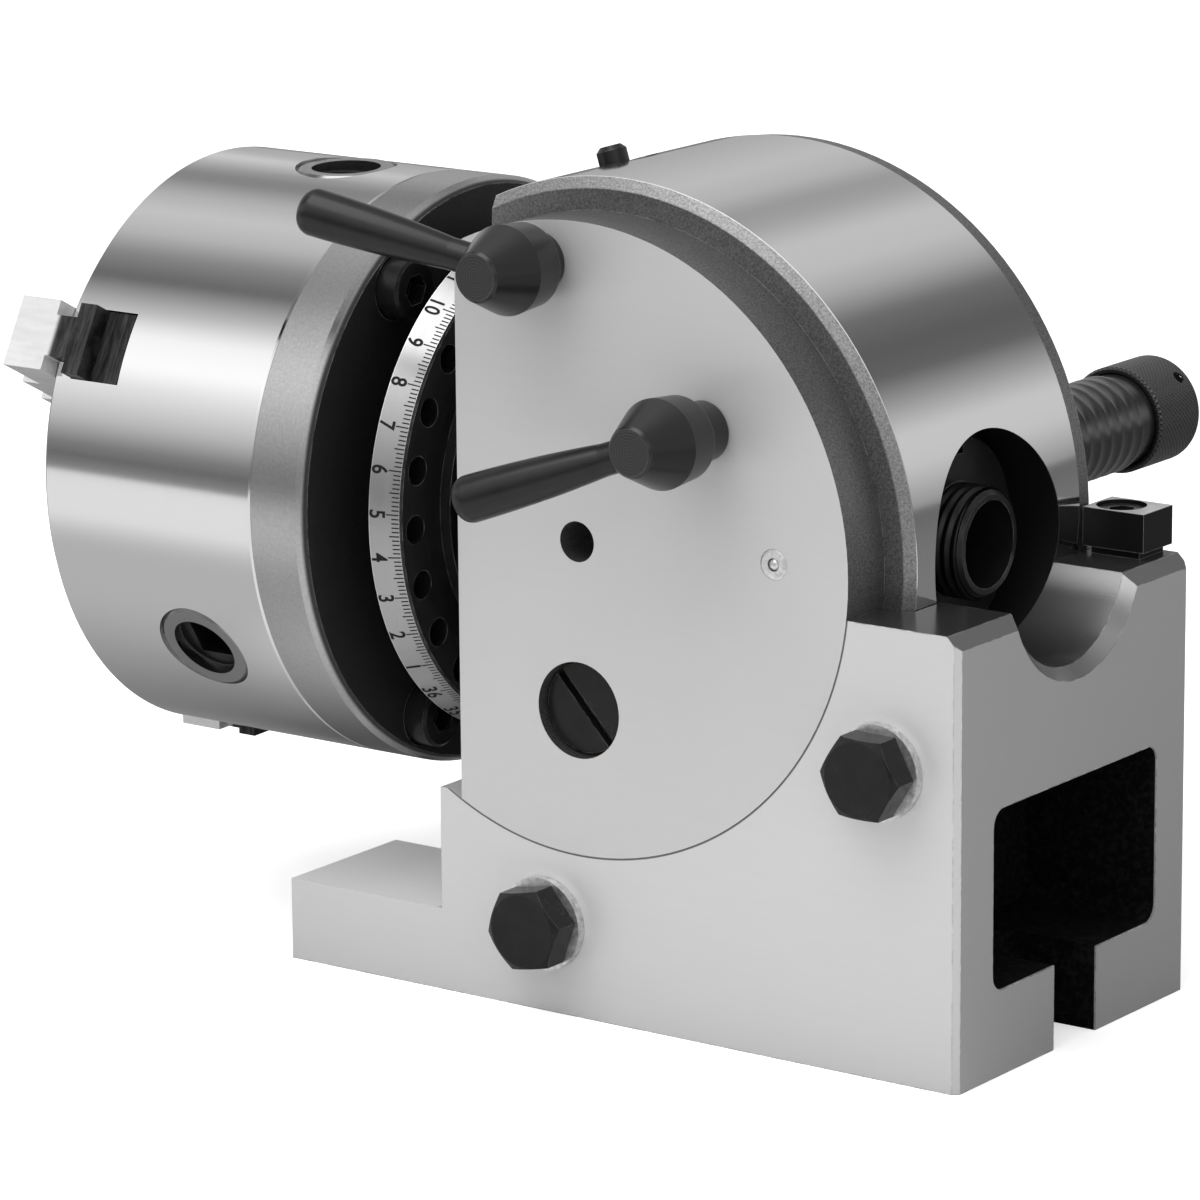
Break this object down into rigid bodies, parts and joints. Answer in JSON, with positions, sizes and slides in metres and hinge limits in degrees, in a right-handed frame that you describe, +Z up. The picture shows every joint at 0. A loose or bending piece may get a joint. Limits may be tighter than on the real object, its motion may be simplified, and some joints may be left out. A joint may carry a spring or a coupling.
{
  "type": "dividing head",
  "caption": "Tilting dividing head with a three-jaw chuck, direct index plate, worm crank, locking levers and a slotted base.",
  "frame": {"origin": "on the underside of the base, straight below the swivel axis", "axes": "+X along the spindle from the chuck towards the tail, +Y away from the two levers, +Z up from the base"},
  "size_m": [0.2371, 0.2036, 0.173],
  "materials": {
    "ground_iron": "ground and satin",
    "ground_steel": "ground, bright",
    "black_steel": "black oxide",
    "zinc_steel": "zinc plated",
    "bronze": "turned bronze",
    "dark_iron": "cast, dark"
  },
  "bodies": {
    "base": {"base_casting": "ground_iron", "clamp_bolts": "black_steel", "clamp_washers": "zinc_steel", "zero_block": "black_steel", "zero_block_screw": "black_steel"},
    "swivel": {"rotary_body": "ground_iron", "oil_plug": "black_steel", "oiler_cup": "zinc_steel", "oiler_ball": "ground_steel", "cotter_cover": "black_steel", "bearing_cap": "dark_iron", "cap_screws": "black_steel", "front_bush": "bronze", "worm_bush": "bronze", "worm_plug": "black_steel", "worm_sleeve": "dark_iron", "sleeve_screws": "black_steel", "dividing_disc": "ground_steel", "sector_ring": "zinc_steel", "near_cotter": "ground_steel", "far_cotter": "ground_steel"},
    "spindle": {"spindle": "black_steel", "wheel_key": "ground_steel", "worm_wheel": "bronze", "spindle_nut": "black_steel", "thrust_washer": "ground_steel", "direct_index_plate": "black_steel", "index_plate_screws": "black_steel", "scale_ring": "ground_steel", "back_plate": "ground_iron", "chuck_screws": "black_steel", "chuck_body": "ground_iron", "chuck_cover": "dark_iron"},
    "crank": {"worm_shaft": "ground_steel", "crank_arm": "black_steel", "crank_washer": "zinc_steel", "crank_nut": "black_steel", "crank_grip": "black_steel", "plunger_spring": "ground_steel"},
    "plunger": {"plunger_pin": "ground_steel", "plunger_knob": "black_steel"},
    "lower_arm": {"lower_sector_arm": "ground_steel"},
    "upper_arm": {"upper_sector_arm": "ground_steel"},
    "pin_lever": {"pin_lever_hub": "black_steel", "pin_lever_rod": "black_steel", "pin_lever_shaft": "ground_steel"},
    "index_pin": {"index_pin": "ground_steel"},
    "lock_lever": {"lock_lever_hub": "black_steel", "lock_lever_rod": "black_steel", "lock_lever_stud": "ground_steel"},
    "scroll": {"chuck_scroll": "ground_steel"},
    "jaw_1": {"chuck_jaw_1": "ground_steel"},
    "jaw_2": {"chuck_jaw_2": "ground_steel"},
    "jaw_3": {"chuck_jaw_3": "ground_steel"},
    "pinion_1": {"chuck_pinion_1": "black_steel"},
    "pinion_2": {"chuck_pinion_2": "black_steel"},
    "pinion_3": {"chuck_pinion_3": "black_steel"}
  },
  "joints": [
    {"name": "swivel", "type": "hinge", "parent": "base", "child": "swivel", "pos_m": [0, 0, 0.1], "axis": [0, 1, 0], "range_deg": [-10, 90]},
    {"name": "spindle_turn", "type": "hinge", "parent": "swivel", "child": "spindle", "pos_m": [0, 0, 0.1], "axis": [1, 0, 0], "continuous": true},
    {"name": "crank_turn", "type": "hinge", "parent": "swivel", "child": "crank", "pos_m": [0, 0, 0.065], "axis": [0, 1, 0], "continuous": true},
    {"name": "plunger_slide", "type": "slide", "parent": "crank", "child": "plunger", "axis": [0, -1, 0], "range_m": [0, 0.0054]},
    {"name": "lower_arm_turn", "type": "hinge", "parent": "swivel", "child": "lower_arm", "pos_m": [0, 0, 0.065], "axis": [0, 1, 0], "continuous": true},
    {"name": "upper_arm_turn", "type": "hinge", "parent": "swivel", "child": "upper_arm", "pos_m": [0, 0, 0.065], "axis": [0, 1, 0], "continuous": true},
    {"name": "pin_lever_turn", "type": "hinge", "parent": "swivel", "child": "pin_lever", "pos_m": [-0.00825, -0.044, 0.1564], "axis": [0, 1, 0], "range_deg": [-4, 104]},
    {"name": "index_pin_slide", "type": "slide", "parent": "swivel", "child": "index_pin", "axis": [-1, 0, 0], "range_m": [0, 0.0052]},
    {"name": "lock_lever_turn", "type": "hinge", "parent": "swivel", "child": "lock_lever", "pos_m": [0.0313, -0.044, 0.1265], "axis": [0, 1, 0], "range_deg": [-25, 25]},
    {"name": "scroll_turn", "type": "hinge", "parent": "spindle", "child": "scroll", "pos_m": [-0.1, 0, 0.1], "axis": [1, 0, 0], "range_deg": [-450, 90]},
    {"name": "jaw_1_slide", "type": "slide", "parent": "spindle", "child": "jaw_1", "axis": [0, -0.8813, 0.4726], "range_m": [-0.01001, 0.00201]},
    {"name": "pinion_1_turn", "type": "hinge", "parent": "spindle", "child": "pinion_1", "pos_m": [-0.0905, -0.00195, 0.16197], "axis": [0, -0.0314, 0.9995], "range_deg": [-2026, 406]},
    {"name": "jaw_2_slide", "type": "slide", "parent": "spindle", "child": "jaw_2", "axis": [0, 0.0314, -0.9995], "range_m": [-0.01001, 0.00201]},
    {"name": "pinion_2_turn", "type": "hinge", "parent": "spindle", "child": "pinion_2", "pos_m": [-0.0905, -0.05269, 0.06733], "axis": [0, -0.8499, -0.527], "range_deg": [-2026, 406]},
    {"name": "jaw_3_slide", "type": "slide", "parent": "spindle", "child": "jaw_3", "axis": [0, 0.8499, 0.527], "range_m": [-0.01001, 0.00201]},
    {"name": "pinion_3_turn", "type": "hinge", "parent": "spindle", "child": "pinion_3", "pos_m": [-0.0905, 0.05464, 0.0707], "axis": [0, 0.8813, -0.4726], "range_deg": [-2026, 406]}
  ],
  "couplings": [
    {"joint": "crank_turn", "follows": "spindle_turn", "ratio": -40},
    {"joint": "pin_lever_turn", "follows": "index_pin_slide", "rad_per_m": 335.64},
    {"joint": "jaw_1_slide", "follows": "scroll_turn", "m_per_rad": 0.0012732},
    {"joint": "pinion_1_turn", "follows": "scroll_turn", "ratio": 4.5},
    {"joint": "jaw_2_slide", "follows": "scroll_turn", "m_per_rad": 0.0012732},
    {"joint": "pinion_2_turn", "follows": "scroll_turn", "ratio": 4.5},
    {"joint": "jaw_3_slide", "follows": "scroll_turn", "m_per_rad": 0.0012732},
    {"joint": "pinion_3_turn", "follows": "scroll_turn", "ratio": 4.5}
  ]
}
